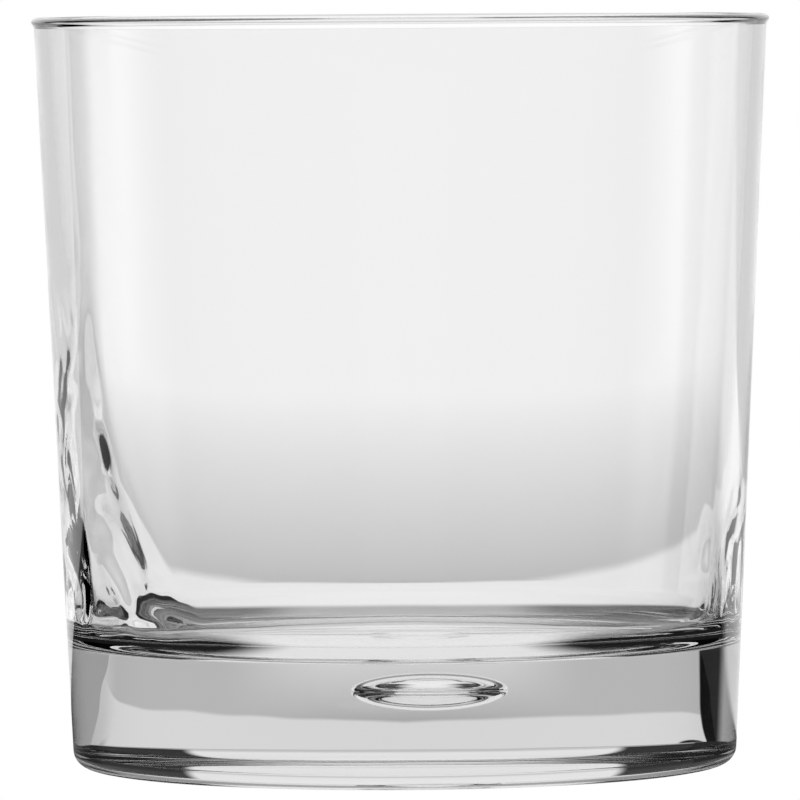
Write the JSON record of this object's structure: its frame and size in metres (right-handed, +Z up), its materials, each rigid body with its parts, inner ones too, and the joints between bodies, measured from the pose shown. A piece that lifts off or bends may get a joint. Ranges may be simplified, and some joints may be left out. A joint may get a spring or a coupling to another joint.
{
  "type": "whiskey tumbler",
  "caption": "Low round drinking glass, slightly wider at its rounded rim, with a thin straight wall and a thick heavy base that holds an air bubble.",
  "frame": {"origin": "centre of the flat ring that the glass stands on, on its axis", "axes": "+Z up along the axis of the glass, towards the rim; +X towards the side that the air bubble sits off to"},
  "size_m": [0.085, 0.085, 0.0864],
  "materials": {
    "clear_glass": "clear, colourless and fire polished, smooth inside and out"
  },
  "bodies": {
    "root": {"tumbler_glass": "clear_glass"}
  },
  "joints": []
}
